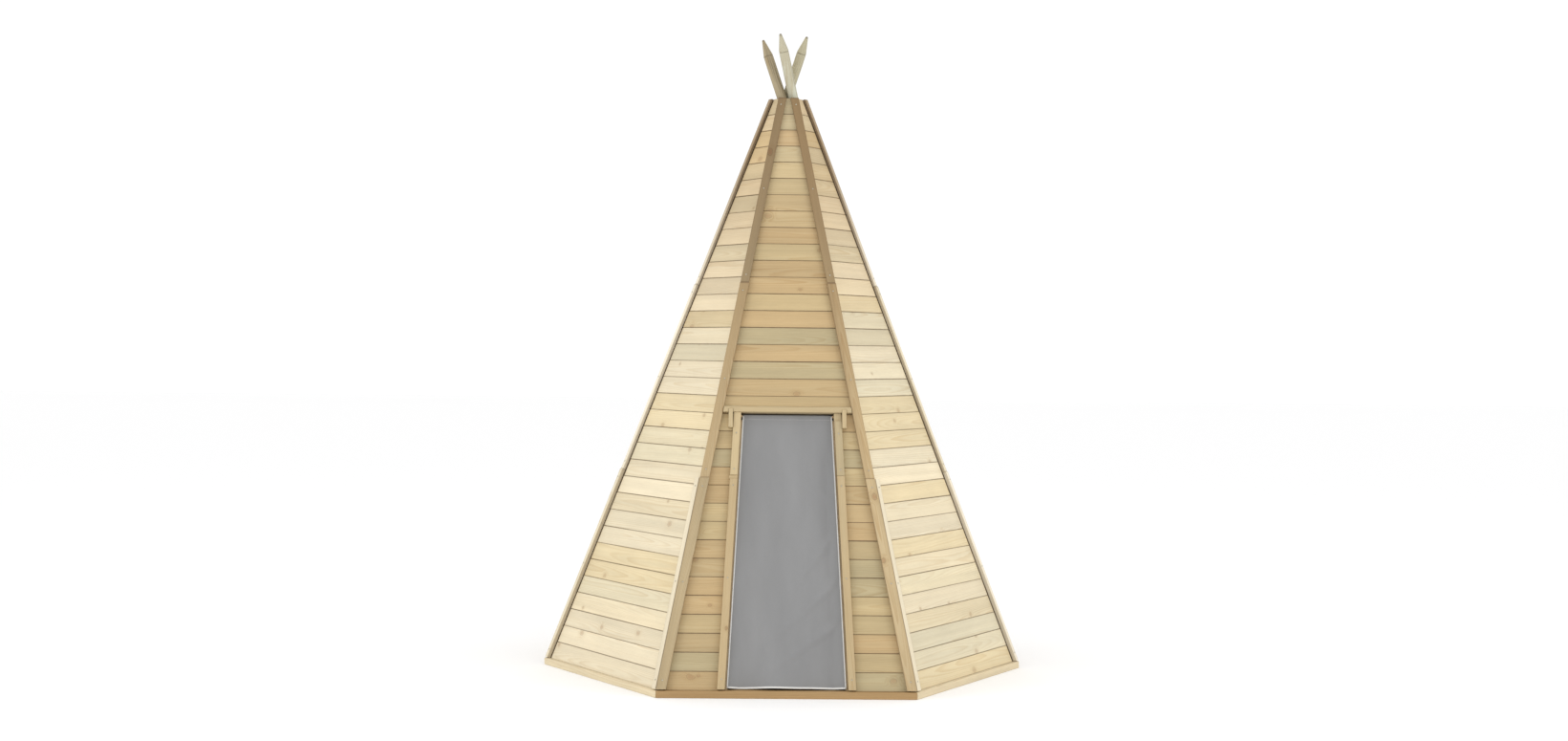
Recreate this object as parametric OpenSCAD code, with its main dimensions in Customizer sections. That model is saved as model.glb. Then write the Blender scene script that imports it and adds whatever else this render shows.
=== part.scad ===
// Six-sided wooden teepee playhouse: level boards on three storeys of wall panels, corner trims,
// three crossing poles at the open top, and a cloth door flap that hangs on a rod under the lintel.
// Origin on the ground at the centre of the hexagon, +Z up, doorway towards -Y.

/* [Wall] */
// Distance from the centre to the face of the boards, at the bottom of the wall
wall_base = 1031; // [900:1:1200]
// Distance from the centre to the face of the boards, at the top of the wall
wall_top = 74; // [74:1:120]
// Length of the wall, measured up the slope
wall_len = 3012; // [2700:4:3300]
// Slope distance at which the lower storey ends
lower_end = 1015; // [950:5:1080]
// Slope distance at which the middle storey ends
middle_end = 2010; // [1900:5:2100]

/* [Boards] */
// Number of courses of boards up the wall
courses = 34; // [30:1:38]
// Thickness of a board
board_t = 12; // [10:1:16]
// Height of the lap by which each board reaches up behind the next
lap = 5; // [4:1:8]
// Open seam between the faces of two boards
seam = 1.4; // [1:0.2:3]
// Shadow gap between the boards of a side wall and its rear corner strip
shadow_gap = 6; // [4:1:10]
// Height of the courses beside the doorway; those above share what is left
door_pitch = 89.6; // [86:0.2:92]

/* [Corner trims] */
// Width of the trims of the lower storey
trim_w_lower = 48; // [40:1:56]
// Width of the trims of the middle storey
trim_w_middle = 46; // [40:1:56]
// Width of the trims of the upper storey
trim_w_upper = 42; // [36:1:46]
// Thickness of the trims of the lower storey, at the two front corners
trim_t_lower = 22; // [18:1:26]
// Thickness of the trims of the middle storey, at the two front corners
trim_t_middle = 19; // [16:1:24]
// Thickness of the trims of the upper storey, at the two front corners
trim_t_upper = 16; // [14:1:20]
// How much thinner the trims and strips of the other corners are
rear_thinner = 4; // [2:1:5]
// Width of the pale strips beside the front trims, which the lower storey alone has
front_strip_w = 40; // [30:1:48]
// Width of the pale strips at the other corners
rear_strip_w = 26; // [22:1:36]
// Joint between the two boards of a corner
corner_joint = 2.4; // [1:0.2:4]

/* [Inner frame] */
// Width of the frame members
frame_w = 45; // [44:1:50]
// Depth of the frame members
frame_t = 28; // [24:1:34]
// Slope distance at which the frames stop, below the poles
frame_end = 2650; // [2400:10:2700]

/* [Base] */
// Height of the base boards
base_h = 34; // [28:1:45]
// Width of the base boards
base_w = 62; // [50:1:80]

/* [Doorway] */
// Number of courses that the doorway takes out
door_courses = 15; // [14:1:16]
// Width of the doorway at the bottom
door_w_bottom = 574; // [540:1:620]
// Width of the doorway at the top
door_w_top = 446; // [420:1:470]
// Width of the door jambs
jamb_w = 36; // [30:1:42]
// Thickness of the door jambs
jamb_t = 19; // [16:1:24]
// Depth of the lintel, measured up the slope
lintel_h = 33; // [28:1:45]
// Thickness of the lintel at its lower edge
lintel_t = 24; // [20:1:30]

/* [Door flap] */
// Thickness of the cloth
cloth_t = 3; // [2:0.5:4]
// Gap between each side of the flap and its jamb
flap_gap = 8; // [6:1:12]
// Radius of the rod that the flap hangs on
rod_r = 6; // [5:0.5:7]
// Wall of the sleeve that is sewn round the rod
sleeve_wall = 2.3; // [2:0.1:3]

/* [Poles] */
// Radius of the poles
pole_r = 25; // [22:0.5:25]
// Lean of each pole from upright
pole_lean = 19.8; // [19:0.1:20.5]
// Length of the sawn point of a pole
point_len = 88; // [60:1:110]
// Depth to which the poles reach below the rim
pole_below = 320; // [240:10:320]

/* [Hidden] */
$fn = 48;
STOREYS = ["lower", "middle", "upper"];
FACES = ["front", "front_right", "back_right", "back", "back_left", "front_left"];
CORNERS = ["front_right", "right", "back_right", "back_left", "left", "front_left"];
POLES = ["left", "middle", "right"];

lean = asin((wall_base - wall_top) / wall_len);
top_z = base_h + wall_len * cos(lean);
door_len = door_courses * door_pitch;
upper_pitch = (wall_len - door_len) / (courses - door_courses);
storey_start = [0, lower_end, middle_end];
storey_end = [lower_end, middle_end, wall_len];
first_course = [0, 11, 23];
last_course = [10, 22, courses - 1];
trim_w = [trim_w_lower, trim_w_middle, trim_w_upper];
trim_t = [trim_t_lower, trim_t_middle, trim_t_upper];
// Clearance between pieces that lie side by side
gap = 0.4;
// Depth of the frame's inner face behind the face of the boards
frame_back = board_t + frame_t;
// Larger than the whole object
far = 4000;

// Flap rod, in the doorway's own plane: slope distance and depth of its axis
sleeve_r = rod_r + 0.3 + sleeve_wall;
rod_w = door_len - sleeve_r - 1;
rod_depth = board_t + sleeve_r + 2;
cloth_back = rod_depth - sleeve_r + cloth_t;
stop_size = 12;
socket_depth = 10;

// Where each pole's axis meets the rim, the way its tip points in plan, and its reach above the rim
pole_rim = [[-30.5, -17.5], [27, -21], [-12, 31.5]];
pole_heading = [156, 230.7, 335];
pole_above = [306, 320, 320];

// Inner frame bolts: depth of their axis behind the boards' face, radius, half their grip, the
// pocket for each head, and their slope distances
bolt_depth = board_t + frame_t * 0.75;
bolt_r = 4;
bolt_head_r = 6.5;
bolt_reach = 18;
pocket_r = 8;
pocket_len = 10;
bolt_places = [120, 860, 1130, 1890, 2130, 2560];
screw_r = 3.8;
screw_edge = 42;

cream = [0.91, 0.85, 0.70];
tan_wood = [0.78, 0.66, 0.48];
brown_wood = [0.70, 0.56, 0.38];
pole_wood = [0.78, 0.77, 0.66];
grey_cloth = [0.58, 0.58, 0.58];
steel = [0.75, 0.75, 0.76];

// A side wall is every second wall, starting beside the front one
function is_side(i) = i % 2 == 1;
function wall_colour(i) = is_side(i) ? cream : tan_wood;
// Half the width of a wall at slope distance w, in the plane t outside the boards' face
function half(w, t) = (wall_base - w * sin(lean) + t * cos(lean)) / sqrt(3);
// Half the width of the doorway at slope distance w
function door_half(w) = (door_w_bottom - (door_w_bottom - door_w_top) * w / door_len) / 2;

// Slope distance at which a course starts
function course_start(n) =
    n < door_courses ? n * door_pitch : door_len + (n - door_courses) * upper_pitch;
// Whether an edge of wall i is at one of the two front corners: side -1 is left, 1 is right
function at_front(i, side) = i == 0 || (i == 1 && side < 0) || (i == 5 && side > 0);
// Width, thickness and presence of the corner board on one edge of wall i in storey s
function edge_w(i, side, s) =
    !is_side(i) ? trim_w[s] : at_front(i, side) ? front_strip_w : rear_strip_w;
function edge_t(i, side, s) = at_front(i, side) ? trim_t[s] : trim_t[s] - rear_thinner;
function has_edge(i, side, s) = !(is_side(i) && at_front(i, side) && s > 0);

// Puts children in the plane of wall i: x across it, y up its slope, z outwards
module on_wall(i) {
    rotate([0, 0, 60 * i])
        translate([0, -wall_base, base_h])
            rotate([90 - lean, 0, 0])
                children();
}

// The sixth of space that belongs to wall i, moved outwards by a clearance
module sector(i, clear = gap) {
    rotate([0, 0, 60 * i])
        linear_extrude(far)
            polygon([[0, -clear], [far * tan(30), -far - clear], [-far * tan(30), -far - clear]]);
}

// Keeps what lies between the base boards and the level top
module between_base_and_top() {
    intersection() {
        children();
        translate([-far / 2, -far / 2, base_h + gap])
            cube([far, far, top_z - base_h - gap]);
    }
}

// A slab on a wall between two slope distances; each side is [u at w0, u at w1]
module slab(left, right, w0, w1, t0, t1) {
    translate([0, 0, t0])
        linear_extrude(t1 - t0)
            polygon([[left[0], w0], [right[0], w0], [right[1], w1], [left[1], w1]]);
}

// A slab from one side of the doorway outwards: side is -1 or 1
module beside_door(side, from, to, w0, w1, t0, t1) {
    a = [side * (door_half(w0) + from), side * (door_half(w1) + from)];
    b = [side * (door_half(w0) + to), side * (door_half(w1) + to)];
    if (side > 0) slab(a, b, w0, w1, t0, t1);
    else slab(b, a, w0, w1, t0, t1);
}

// The space of the doorway, widened on each side
module doorway(widen = 0, top = door_len + lap) {
    low = -60;
    slab([-door_half(low) - widen, -door_half(top) - widen],
         [door_half(low) + widen, door_half(top) + widen], low, top, -60, 60);
}

// One board, lapped half and half over its neighbours, across the whole wall
module board(course, length) {
    half_t = board_t / 2;
    pitch = course_start(course + 1) - course_start(course);
    translate([-length / 2, course_start(course), 0])
        rotate([90, 0, 90])
            linear_extrude(length)
                polygon([
                    [0, 0], [pitch - seam, 0],
                    [pitch - seam, -half_t - gap / 2], [pitch + lap - gap, -half_t - gap / 2],
                    [pitch + lap - gap, -board_t], [lap, -board_t],
                    [lap, -half_t + gap / 2], [0, -half_t + gap / 2]]);
}

// Whether the boards of wall i stop at a shadow gap on one side
function has_gap(i, side) = is_side(i) && !at_front(i, side);
// Where the boards of wall i end on one side at slope distance w in storey s
function board_end(i, side, s, w) =
    let (full = half(w, -board_t), least = 6)
    side * (has_gap(i, side)
        ? max(least, half(w, edge_t(i, side, s)) - rear_strip_w - shadow_gap) : full);

module boards(i, s) {
    w0 = course_start(first_course[s]) - 1;
    w1 = course_start(last_course[s] + 1) + lap;
    color(wall_colour(i)) between_base_and_top() on_wall(i) difference() {
        intersection() {
            for (c = [first_course[s]:last_course[s]]) board(c, 2 * half(w0, 0));
            slab([board_end(i, -1, s, w0), board_end(i, -1, s, w1)],
                 [board_end(i, 1, s, w0), board_end(i, 1, s, w1)], w0, w1, -board_t - 1, 1);
        }
        if (i == 0 && s < 2) doorway();
    }
}

// Places children at each bolt of corner i, x across the corner and y inwards
module at_bolts(i) {
    for (w = bolt_places) {
        radius = (wall_base - w * sin(lean) - bolt_depth * cos(lean)) / cos(30);
        rotate([0, 0, 60 * i + 30])
            translate([0, -radius, base_h + w * cos(lean) - bolt_depth * sin(lean)])
                children();
    }
}

// A bolt's hole, and a pocket at each end that opens towards the inside
module bolt_holes(i) {
    reach = bolt_reach + 1;
    at_bolts(i) {
        translate([-reach, 0, 0]) rotate([0, 90, 0]) cylinder(h = 2 * reach, r = bolt_r + 0.3);
        for (side = [-1, 1])
            translate([side * bolt_reach, 0, 0]) {
                rotate([0, side * 90, 0]) cylinder(h = pocket_len, r = pocket_r);
                translate([side > 0 ? 0 : -pocket_len, 0, -pocket_r])
                    cube([pocket_len, 60, 2 * pocket_r]);
            }
    }
}

// Two uprights that follow the corners, and a cross member at each end, in one storey
module wall_frame(s) {
    w0 = storey_start[s] + gap;
    w1 = min(storey_end[s], frame_end) - gap;
    for (side = [-1, 1]) {
        outer = [side * (half(w0, 0) + frame_w), side * (half(w1, 0) + frame_w)];
        inner = [side * (half(w0, -frame_back) - frame_w), side * (half(w1, -frame_back) - frame_w)];
        slab(side > 0 ? inner : outer, side > 0 ? outer : inner, w0, w1, -frame_back, -board_t - gap);
    }
    for (w = [w0, w1 - frame_w]) {
        a = half(w, -frame_back) - frame_w - gap;
        b = half(w + frame_w, -frame_back) - frame_w - gap;
        slab([-a, -b], [a, b], w, w + frame_w, -frame_back, -board_t - gap);
    }
}

module door_frame() {
    difference() {
        for (side = [-1, 1])
            beside_door(side, 0, frame_w, gap, door_len + lap + frame_w, -frame_back, -board_t - gap);
        translate([-far / 2, rod_w, -rod_depth]) rotate([0, 90, 0])
            cylinder(h = far, r = rod_r + 0.1);
    }
    low = door_len + lap + gap;
    high = door_len + lap + frame_w;
    a = door_half(low) - gap;
    b = door_half(high) - gap;
    slab([-a, -b], [a, b], low, high, -frame_back, -board_t - gap);
}

module frame(i) {
    color(tan_wood) between_base_and_top() {
        difference() {
            intersection() {
                on_wall(i) difference() {
                    for (s = [0:2]) wall_frame(s);
                    if (i == 0) doorway(frame_w + gap, door_len + lap + frame_w + gap);
                }
                sector(i);
            }
            bolt_holes(i);
            bolt_holes(i - 1);
        }
        if (i == 0) on_wall(0) door_frame();
    }
}

// Corner boards of wall i: side 1 is the wall's right edge, side -1 its left edge
module corner_boards(i, side) {
    between_base_and_top() intersection() {
        on_wall(i) for (s = [0:2]) if (has_edge(i, side, s)) {
            w0 = storey_start[s] + (s == 0 ? 0 : gap);
            w1 = storey_end[s] + (s == 2 ? 10 : -gap);
            t = edge_t(i, side, s);
            width = edge_w(i, side, s);
            outer = [side * (half(w0, t) + 9), side * (half(w1, t) + 9)];
            inner = [side * (half(w0, t) - width), side * (half(w1, t) - width)];
            slab(side > 0 ? inner : outer, side > 0 ? outer : inner, w0, w1, gap / 4, t);
        }
        sector(i, corner_joint);
    }
}

// Corner c lies between wall c and wall c + 1; the trims are on the walls that aren't side walls
module trim(c) {
    color(tan_wood)
        if (is_side(c)) corner_boards((c + 1) % 6, -1);
        else corner_boards(c, 1);
}

module strip(c) {
    color(cream)
        if (is_side(c)) corner_boards(c, 1);
        else corner_boards((c + 1) % 6, -1);
}

// A base board with mitred ends; its face is flush with the lower trims
module base_board(i) {
    out = wall_base + trim_t_lower * cos(lean);
    color(is_side(i) ? cream : brown_wood) intersection() {
        rotate([0, 0, 60 * i])
            translate([-far / 2, -out, 0])
                cube([far, base_w, base_h]);
        sector(i);
    }
}

// Round pole with a sawn point
module pole(p) {
    color(pole_wood) at_pole(p) {
        foot = -pole_below / cos(pole_lean);
        tip = pole_above[p] / cos(pole_lean);
        rotate_extrude()
            polygon([[0, foot], [pole_r, foot], [pole_r, tip - point_len],
                     [pole_r * 0.16, tip], [0, tip]]);
    }
}

// Puts children at the rim on the axis of pole p, z along the pole towards its point
module at_pole(p) {
    translate([pole_rim[p][0], pole_rim[p][1], top_z])
        rotate([0, 0, pole_heading[p]])
            rotate([0, pole_lean, 0])
                children();
}

// Six-sided plate inside the top, drilled for the poles
module pole_plate() {
    thickness = 18;
    below_rim = 165;
    room = wall_top + (below_rim - thickness) * tan(lean) - board_t / cos(lean) - 1;
    color(tan_wood) difference() {
        translate([0, 0, top_z - below_rim])
            cylinder(h = thickness, r = room / cos(30), $fn = 6);
        for (p = [0:2])
            at_pole(p) translate([0, 0, -pole_below])
                cylinder(h = pole_below, r = pole_r + 0.3);
    }
}

// Cleats beside the jambs: inner edge, width, length and how far they reach up into the lintel
cleat_in = 263;
cleat_w = 21;
cleat_len = 78;
cleat_up = 15;

// Board over the doorway with a weathered upper edge, notched for the cleats
module lintel() {
    w0 = door_len;
    w1 = door_len + lintel_h;
    room = 2;
    a = half(w0, trim_t_middle) - trim_w_middle - room;
    b = half(w1, trim_t_middle) - trim_w_middle - room;
    color(tan_wood) on_wall(0) difference() {
        intersection() {
            translate([-far / 2, w0, 0]) rotate([90, 0, 90]) linear_extrude(far)
                polygon([[0, gap / 4], [0, lintel_t], [lintel_h - 8, lintel_t], [lintel_h, lintel_t - 12],
                    [lintel_h, gap / 4]]);
            slab([-a, -b], [a, b], w0, w1, 0, lintel_t + 1);
        }
        for (side = [-1, 1])
            translate([side * (cleat_in + cleat_w / 2) - cleat_w / 2 - gap, w0 - 1, -1])
                cube([cleat_w + 2 * gap, cleat_up + 1 + gap, lintel_t + 10]);
    }
}

module lintel_cleats() {
    color(tan_wood) on_wall(0)
        for (side = [-1, 1])
            translate([side * (cleat_in + cleat_w / 2) - cleat_w / 2, door_len - cleat_len, gap / 4])
                cube([cleat_w, cleat_len + cleat_up, lintel_t + 3]);
}

block_len = 18;
jamb_break = lower_end + 16;

module jamb(side, w0, w1) {
    color(tan_wood) between_base_and_top() on_wall(0)
        beside_door(side, 0, jamb_w, w0, w1, gap / 4, jamb_t);
}

// Short packing blocks: one at the left storey joint, one under the lintel on the right
module jamb_blocks() {
    color(brown_wood) on_wall(0) {
        beside_door(-1, 0, jamb_w + 3, jamb_break - block_len + gap, jamb_break - gap, gap / 4, jamb_t - 5);
        beside_door(1, 0, jamb_w, door_len - 40, door_len - gap, gap / 4, jamb_t - 6);
    }
}

// Battens that the flap rests against when it is shut
module door_stops() {
    color(tan_wood) between_base_and_top() on_wall(0)
        for (side = [-1, 1])
            beside_door(side, -stop_size, -gap / 4, gap, rod_w - sleeve_r - 12,
                        -cloth_back - 0.5 - stop_size, -cloth_back - 0.5);
}

module flap_rod() {
    reach = door_half(rod_w) + socket_depth;
    color(brown_wood) on_wall(0)
        translate([-reach, rod_w, -rod_depth]) rotate([0, 90, 0])
            cylinder(h = 2 * reach, r = rod_r);
}

// Tapered sheet with a sleeve round the rod
module door_flap() {
    foot = 12;
    a = door_half(foot) - flap_gap;
    b = door_half(rod_w) - flap_gap;
    color(grey_cloth) on_wall(0) difference() {
        union() {
            slab([-a, -b], [a, b], foot, rod_w, -cloth_back, -cloth_back + cloth_t);
            translate([-b, rod_w, -rod_depth]) rotate([0, 90, 0])
                cylinder(h = 2 * b, r = sleeve_r);
        }
        translate([-far / 2, rod_w, -rod_depth]) rotate([0, 90, 0])
            cylinder(h = far, r = rod_r + 0.3);
    }
}

module screw_head() {
    cylinder(h = 2.4, r1 = screw_r, r2 = screw_r * 0.6);
}

module trim_screws() {
    color(steel) for (i = [0:5]) on_wall(i)
        for (s = [0:2], side = [-1, 1]) if (has_edge(i, side, s)) {
            first = storey_start[s] + screw_edge;
            last = storey_end[s] - screw_edge;
            t = edge_t(i, side, s);
            for (w = [first, (first + last) / 2, last])
                translate([side * (half(w, t) - edge_w(i, side, s) / 2), w, t])
                    screw_head();
        }
}

module door_screws() {
    edge = jamb_w / 2;
    color(steel) on_wall(0) for (side = [-1, 1], w = [50, 530, 980, 1060, 1240])
        translate([side * (door_half(w) + edge), w, jamb_t])
            screw_head();
}

module panel_bolts() {
    color(steel) for (i = [0:5]) at_bolts(i) {
        translate([-bolt_reach, 0, 0]) rotate([0, 90, 0]) cylinder(h = 2 * bolt_reach, r = bolt_r);
        for (side = [-1, 1])
            translate([side * bolt_reach, 0, 0]) rotate([0, side * 90, 0])
                cylinder(h = 5.5, r = bolt_head_r, $fn = 6);
    }
}

for (i = [0:5]) base_board(i);
for (i = [0:5], s = [0:2])
    boards(i, s);
for (i = [0:5]) frame(i);
for (c = [0:5]) trim(c);
for (c = [0:5]) strip(c);
for (p = [0:2]) pole(p);
pole_plate();
lintel();
lintel_cleats();
jamb(-1, 2, jamb_break - block_len);  // jamb_left_lower
jamb(-1, jamb_break, door_len - gap);  // jamb_left_upper
jamb(1, 2, jamb_break - gap);  // jamb_right_lower
jamb(1, jamb_break, door_len - 40 - gap);  // jamb_right_upper
jamb_blocks();
door_stops();
flap_rod();
door_flap();
trim_screws();
door_screws();
panel_bolts();
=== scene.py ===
"""Six-sided timber teepee playhouse with a cloth door flap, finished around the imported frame."""

import math
import random

import bmesh
import bpy
from mathutils import Matrix, Vector, noise


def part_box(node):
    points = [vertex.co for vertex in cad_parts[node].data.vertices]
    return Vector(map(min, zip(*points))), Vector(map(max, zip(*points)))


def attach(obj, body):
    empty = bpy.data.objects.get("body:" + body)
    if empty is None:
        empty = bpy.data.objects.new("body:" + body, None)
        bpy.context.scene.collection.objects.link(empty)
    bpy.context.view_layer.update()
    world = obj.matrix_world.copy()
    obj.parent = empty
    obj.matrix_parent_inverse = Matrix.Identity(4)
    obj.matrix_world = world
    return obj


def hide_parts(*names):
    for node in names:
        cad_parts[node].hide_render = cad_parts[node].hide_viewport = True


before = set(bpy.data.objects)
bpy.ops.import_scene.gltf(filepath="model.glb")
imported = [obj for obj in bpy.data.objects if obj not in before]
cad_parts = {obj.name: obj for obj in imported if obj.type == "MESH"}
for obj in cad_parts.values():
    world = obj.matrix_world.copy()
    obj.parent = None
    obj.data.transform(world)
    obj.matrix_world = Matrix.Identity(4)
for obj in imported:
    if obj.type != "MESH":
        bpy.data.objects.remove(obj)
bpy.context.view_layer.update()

# ----------------------------------------------
# Camera: a standing grown-up's eye, about ten metres in front of the doorway and a little to
# its left, with a normal lens. The whole playhouse fits between grass level and pole tips.
# ----------------------------------------------
EYE = (-0.2346, -11.092, 1.6185)
EYE_TURN, EYE_TILT, EYE_ROLL = math.radians(-1.177), math.radians(90.0 - 0.562), math.radians(0.614)

camera_data = bpy.data.cameras.new("camera")
camera_data.sensor_width = 36.0
camera_data.lens = 49.885
camera_data.clip_end = 200.0
camera = bpy.data.objects.new("camera", camera_data)
bpy.context.scene.collection.objects.link(camera)
bpy.context.scene.camera = camera
camera.matrix_world = (
    Matrix.Translation(EYE)
    @ Matrix.Rotation(EYE_TURN, 4, "Z")
    @ Matrix.Rotation(EYE_TILT, 4, "X")
    @ Matrix.Rotation(EYE_ROLL, 4, "Z")
)

# ----------------------------------------------
# Studio: a white floor and a white room, with a large soft box on either side so that the two
# side walls are brighter than the doorway wall, and a weak soft box in front.
# ----------------------------------------------
WHITE = (1.0, 1.0, 1.0, 1.0)
ROOM_STRENGTH = 1.04
FLOOR_WHITE = (0.957, 0.957, 0.957, 1.0)
FLOOR_HALF = 60.0
SIDE_BOX_SIZE, SIDE_BOX_POWER = (4.5, 4.5), 160.0
FRONT_BOX_SIZE, FRONT_BOX_POWER = (5.0, 3.0), 20.0

bpy.context.scene.view_settings.view_transform = "Standard"

world = bpy.data.worlds.new("white_room")
bpy.context.scene.world = world
world.use_nodes = True
world.node_tree.nodes["Background"].inputs["Color"].default_value = WHITE
world.node_tree.nodes["Background"].inputs["Strength"].default_value = ROOM_STRENGTH


def soft_box(name, location, target, size, power):
    data = bpy.data.lights.new(name, "AREA")
    data.shape = "RECTANGLE"
    data.size, data.size_y = size
    data.energy = power
    light = bpy.data.objects.new(name, data)
    light.location = location
    aim = Vector(target) - Vector(location)
    light.rotation_euler = aim.to_track_quat("-Z", "Y").to_euler()
    bpy.context.scene.collection.objects.link(light)


middle = Vector((0.0, 0.0, 1.3))
soft_box("left_box", (-7.5, -4.6, 3.2), middle, SIDE_BOX_SIZE, SIDE_BOX_POWER)
soft_box("right_box", (7.5, -4.6, 3.2), middle, SIDE_BOX_SIZE, SIDE_BOX_POWER)
soft_box("front_box", (0.0, -9.0, 4.5), middle, FRONT_BOX_SIZE, FRONT_BOX_POWER)


def new_paint(name):
    paint = bpy.data.materials.new(name)
    paint.use_nodes = True
    return paint, paint.node_tree, paint.node_tree.nodes["Principled BSDF"]


def new_object(name, work, paint):
    """Turns a finished bmesh into an object at the origin, with one finish."""
    mesh = bpy.data.meshes.new(name)
    work.to_mesh(mesh)
    work.free()
    made = bpy.data.objects.new(name, mesh)
    bpy.context.scene.collection.objects.link(made)
    mesh.materials.append(paint)
    return made


floor_paint, _, floor_surface = new_paint("floor_white")
floor_surface.inputs["Base Color"].default_value = FLOOR_WHITE
floor_surface.inputs["Roughness"].default_value = 0.9
floor_surface.inputs["Specular IOR Level"].default_value = 0.1
floor_work = bmesh.new()
bmesh.ops.create_grid(floor_work, x_segments=1, y_segments=1, size=FLOOR_HALF)
new_object("floor", floor_work, floor_paint)

# ----------------------------------------------
# Wall boards: planed softwood, lapped along their edges, 34 courses up each wall, nailed to the
# frames behind. Each board's face edges are eased, and its grain, tone and knots are its own.
# ----------------------------------------------
WALLS = ["front", "front_right", "back_right", "back", "back_left", "front_left"]
SIDE_WALLS = {"front_right", "back", "front_left"}
STOREYS = ["lower", "middle", "upper"]
SAME_POINT = 0.00002
HARD_CORNER = math.radians(28.0)
# Two faces that turn less than this are one flat face
FLAT = math.radians(0.5)
# How far the lap at the back of a board stands above its face
TONGUE = 0.006
# A stick whose corners differ more than this in their reach has been cut round the doorway
CUT_ROUND = 0.035
# Sticks are cut across about this often, so that they can bow
BOW_STEP = 0.16
BOARD_EASE = 0.0018


def solid_pieces(node):
    """A welded copy of a node's mesh, cleaned to flat faces, and its separate solids."""
    work = bmesh.new()
    work.from_mesh(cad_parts[node].data)
    bmesh.ops.remove_doubles(work, verts=work.verts, dist=SAME_POINT)
    bmesh.ops.dissolve_limit(work, angle_limit=FLAT, verts=work.verts, edges=work.edges)
    work.verts.layers.float_vector.new("grain")
    work.verts.layers.float_vector.new("mark")
    work.verts.layers.float_vector.new("brink")
    islands, seen = [], set()
    for first in work.verts:
        if first in seen:
            continue
        island, queue = [], [first]
        seen.add(first)
        while queue:
            vertex = queue.pop()
            island.append(vertex)
            for edge in vertex.link_edges:
                other = edge.other_vert(vertex)
                if other not in seen:
                    seen.add(other)
                    queue.append(other)
        islands.append(island)
    return work, islands


def timber_axes(island, level):
    """Grain along a stick's longest edge, and outwards along its broadest outer face."""
    edges = {edge for vertex in island for edge in vertex.link_edges}
    if level:
        edges = {edge for edge in edges
                 if abs(edge.verts[0].co.z - edge.verts[1].co.z) < 0.1 * edge.calc_length()}
    faces = {face for vertex in island for face in vertex.link_faces}
    centre = sum((vertex.co for vertex in island), Vector()) / len(island)
    longest = max(edges, key=lambda edge: (round(edge.calc_length(), 5),
                                           edge.verts[0].co.z, edge.verts[0].co.x))
    along = (longest.verts[1].co - longest.verts[0].co).normalized()
    if (along.x, along.y, along.z) < (0.0, 0.0, 0.0):
        along = -along
    away = Vector((centre.x, centre.y, 0.15)).normalized()
    side_faces = [face for face in faces if abs(face.normal.dot(along)) < 0.5]
    broad = max(side_faces,
                key=lambda face: face.calc_area() * (1.3 if face.normal.dot(away) > 0 else 1.0))
    out = broad.normal if broad.normal.dot(away) > 0 else -broad.normal
    out = (out - along * out.dot(along)).normalized()
    return centre, along, out.cross(along), out


def island_marks(seed, count):
    """One random triple for each stick, the same on each run."""
    chance = random.Random(seed)
    return [Vector((chance.random(), chance.random(), chance.random())) for _ in range(count)]


def name_solids(work, islands, seed, level):
    """Writes each vertex's place in its stick, the stick's random mark and the way to its edges."""
    grain = work.verts.layers.float_vector["grain"]
    mark = work.verts.layers.float_vector["mark"]
    brink = work.verts.layers.float_vector["brink"]
    axes = []
    for island, own in zip(islands, island_marks(seed, len(islands))):
        centre, along, across, out = timber_axes(island, level)
        if across.z < 0:
            along, across = -along, -across
        heights = [(vertex.co - centre).dot(across) for vertex in island]
        face_top = max(heights) - (TONGUE if level else 0.0)
        # A board cut round the doorway has corners between its ends, and no painted shade at its
        # ends
        runs = [abs((vertex.co - centre).dot(along)) for vertex in island]
        past_ends = 1.0 if max(runs) - min(runs) > CUT_ROUND else 0.0
        for vertex, height in zip(island, heights):
            place = vertex.co - centre
            vertex[grain] = Vector((place.dot(along), height, place.dot(out)))
            vertex[mark] = own
            vertex[brink] = Vector((height - min(heights), face_top - height,
                                    abs(place.dot(along)) + past_ends))
        axes.append((centre, along, across, out))
    return axes


def finish_piece(name, work, node, paint):
    piece = new_object(name, work, paint)
    for polygon in piece.data.polygons:
        polygon.use_smooth = True
    piece.data.set_sharp_from_angle(angle=HARD_CORNER)
    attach(piece, "den")
    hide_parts(node)


def set_input(tree, socket, value):
    """Links a socket into an input, or sets the input to a plain value."""
    if isinstance(value, bpy.types.NodeSocket):
        tree.links.new(value, socket)
    elif value is not None:
        socket.default_value = value


def calc(tree, operation, *values):
    node = tree.nodes.new("ShaderNodeMath")
    node.operation = operation
    for socket, value in zip(node.inputs, values):
        set_input(tree, socket, value)
    return node.outputs[0]


def vector_calc(tree, operation, *values):
    node = tree.nodes.new("ShaderNodeVectorMath")
    node.operation = operation
    for socket, value in zip(node.inputs, values):
        set_input(tree, socket, value)
    return node.outputs["Value" if operation == "LENGTH" else "Vector"]


def step_between(tree, value, low, high, out_low=0.0, out_high=1.0):
    """Smoothly takes a value from out_low at low to out_high at high."""
    node = tree.nodes.new("ShaderNodeMapRange")
    node.interpolation_type = "SMOOTHSTEP"
    for name, part in zip(("Value", "From Min", "From Max", "To Min", "To Max"),
                          (value, low, high, out_low, out_high)):
        set_input(tree, node.inputs[name], part)
    return node.outputs["Result"]


def mix_colour(tree, amount, first, second, blend="MIX"):
    node = tree.nodes.new("ShaderNodeMix")
    node.data_type = "RGBA"
    node.blend_type = blend
    set_input(tree, node.inputs[0], amount)
    set_input(tree, node.inputs[6], first)
    set_input(tree, node.inputs[7], second)
    return node.outputs[2]


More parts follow.
